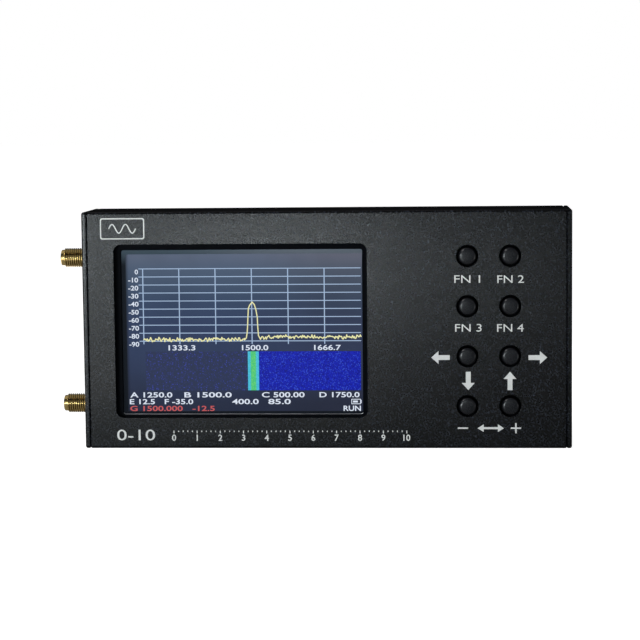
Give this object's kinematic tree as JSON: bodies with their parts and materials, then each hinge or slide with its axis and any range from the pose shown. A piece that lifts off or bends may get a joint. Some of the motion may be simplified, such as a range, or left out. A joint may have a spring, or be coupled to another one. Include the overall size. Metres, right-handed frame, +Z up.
{
  "type": "handheld spectrum analyzer",
  "caption": "Handheld spectrum analyzer in a flat black metal case, with a colour screen, round push keys, a power slide switch and gold threaded coaxial jacks on its left end.",
  "frame": {"origin": "centre of the bottom face of the case", "axes": "+X to the right as the screen is read, +Y from the front to the back, +Z up"},
  "size_m": [0.1695, 0.0282, 0.078],
  "materials": {
    "case_black": "bead-blasted and black anodised, satin, fine grain",
    "plate_black": "bead-blasted and black anodised, satin",
    "screw_black": "black oxide",
    "gasket_foam": "matt closed-cell foam",
    "bezel_black": "black painted sheet with bright cut edges",
    "screen_glass": "glossy glass over a lit picture",
    "backlight_white": "white diffuser",
    "tray_black": "moulded",
    "ribbon_amber": "amber film",
    "connector_ivory": "moulded",
    "board_green": "solder mask",
    "switch_black": "moulded",
    "standoff_brass": "turned",
    "screw_steel": "zinc plated",
    "header_black": "moulded",
    "board_blue": "solder mask",
    "shield_tin": "tin plated sheet",
    "chip_black": "moulded",
    "crystal_can": "plated can",
    "choke_grey": "ferrite",
    "cell_foil": "laminated pouch",
    "pad_tape": "foam tape",
    "lead_red": "soft jacket",
    "lead_black": "soft jacket",
    "usb_steel": "plated sheet",
    "tongue_black": "moulded",
    "switch_grey": "plated sheet",
    "lever_black": "moulded",
    "emitter_yellow": "moulded",
    "light_pipe_clear": "clear moulding",
    "key_black": "moulded, satin, slightly smoother than the case",
    "plunger_red": "moulded",
    "jack_gold": "gold plated, turned",
    "insulator_white": "waxy"
  },
  "bodies": {
    "case": {"front_shell": "case_black", "rear_shell": "case_black", "left_end_plate": "plate_black", "right_end_plate": "plate_black", "left_plate_screws": "screw_black", "right_plate_screws": "screw_black", "screen_gasket": "gasket_foam", "lcd_bezel": "bezel_black", "lcd_cell": "screen_glass", "lcd_backlight": "backlight_white", "lcd_tray": "tray_black", "lcd_ribbon": "ribbon_amber", "ribbon_connector": "connector_ivory", "front_board": "board_green", "key_switches": "switch_black", "board_standoffs": "standoff_brass", "board_screws": "screw_steel", "board_header": "header_black", "board_socket": "header_black", "radio_board": "board_blue", "shield_fence": "shield_tin", "shield_lid": "shield_tin", "radio_chips": "chip_black", "processor": "chip_black", "clock_crystal": "crystal_can", "power_parts": "choke_grey", "battery_cell": "cell_foil", "battery_pad": "pad_tape", "battery_lead_red": "lead_red", "battery_lead_black": "lead_black", "battery_plug": "connector_ivory", "battery_socket": "connector_ivory", "usb_shell": "usb_steel", "usb_tongue": "tongue_black", "power_switch_body": "switch_grey", "status_emitter": "emitter_yellow", "status_light_pipe": "light_pipe_clear", "upper_jack_shell": "jack_gold", "upper_jack_insulator": "insulator_white", "upper_jack_contact": "jack_gold", "lower_jack_shell": "jack_gold", "lower_jack_insulator": "insulator_white", "lower_jack_contact": "jack_gold"},
    "function_key_1": {"function_key_1": "key_black", "function_key_1_plunger": "plunger_red"},
    "function_key_2": {"function_key_2": "key_black", "function_key_2_plunger": "plunger_red"},
    "function_key_3": {"function_key_3": "key_black", "function_key_3_plunger": "plunger_red"},
    "function_key_4": {"function_key_4": "key_black", "function_key_4_plunger": "plunger_red"},
    "left_key": {"left_key": "key_black", "left_key_plunger": "plunger_red"},
    "right_key": {"right_key": "key_black", "right_key_plunger": "plunger_red"},
    "minus_key": {"minus_key": "key_black", "minus_key_plunger": "plunger_red"},
    "plus_key": {"plus_key": "key_black", "plus_key_plunger": "plunger_red"},
    "power_lever": {"power_switch_lever": "lever_black"}
  },
  "joints": [
    {"name": "function_key_1_press", "type": "slide", "parent": "case", "child": "function_key_1", "axis": [0, 1, 0], "range_m": [0, 0.0005], "stiffness_N_per_m": 1500},
    {"name": "function_key_2_press", "type": "slide", "parent": "case", "child": "function_key_2", "axis": [0, 1, 0], "range_m": [0, 0.0005], "stiffness_N_per_m": 1500},
    {"name": "function_key_3_press", "type": "slide", "parent": "case", "child": "function_key_3", "axis": [0, 1, 0], "range_m": [0, 0.0005], "stiffness_N_per_m": 1500},
    {"name": "function_key_4_press", "type": "slide", "parent": "case", "child": "function_key_4", "axis": [0, 1, 0], "range_m": [0, 0.0005], "stiffness_N_per_m": 1500},
    {"name": "left_key_press", "type": "slide", "parent": "case", "child": "left_key", "axis": [0, 1, 0], "range_m": [0, 0.0005], "stiffness_N_per_m": 1500},
    {"name": "right_key_press", "type": "slide", "parent": "case", "child": "right_key", "axis": [0, 1, 0], "range_m": [0, 0.0005], "stiffness_N_per_m": 1500},
    {"name": "minus_key_press", "type": "slide", "parent": "case", "child": "minus_key", "axis": [0, 1, 0], "range_m": [0, 0.0005], "stiffness_N_per_m": 1500},
    {"name": "plus_key_press", "type": "slide", "parent": "case", "child": "plus_key", "axis": [0, 1, 0], "range_m": [0, 0.0005], "stiffness_N_per_m": 1500},
    {"name": "power_lever_slide", "type": "slide", "parent": "case", "child": "power_lever", "axis": [0, 0, 1], "range_m": [-0.002, 0]}
  ]
}
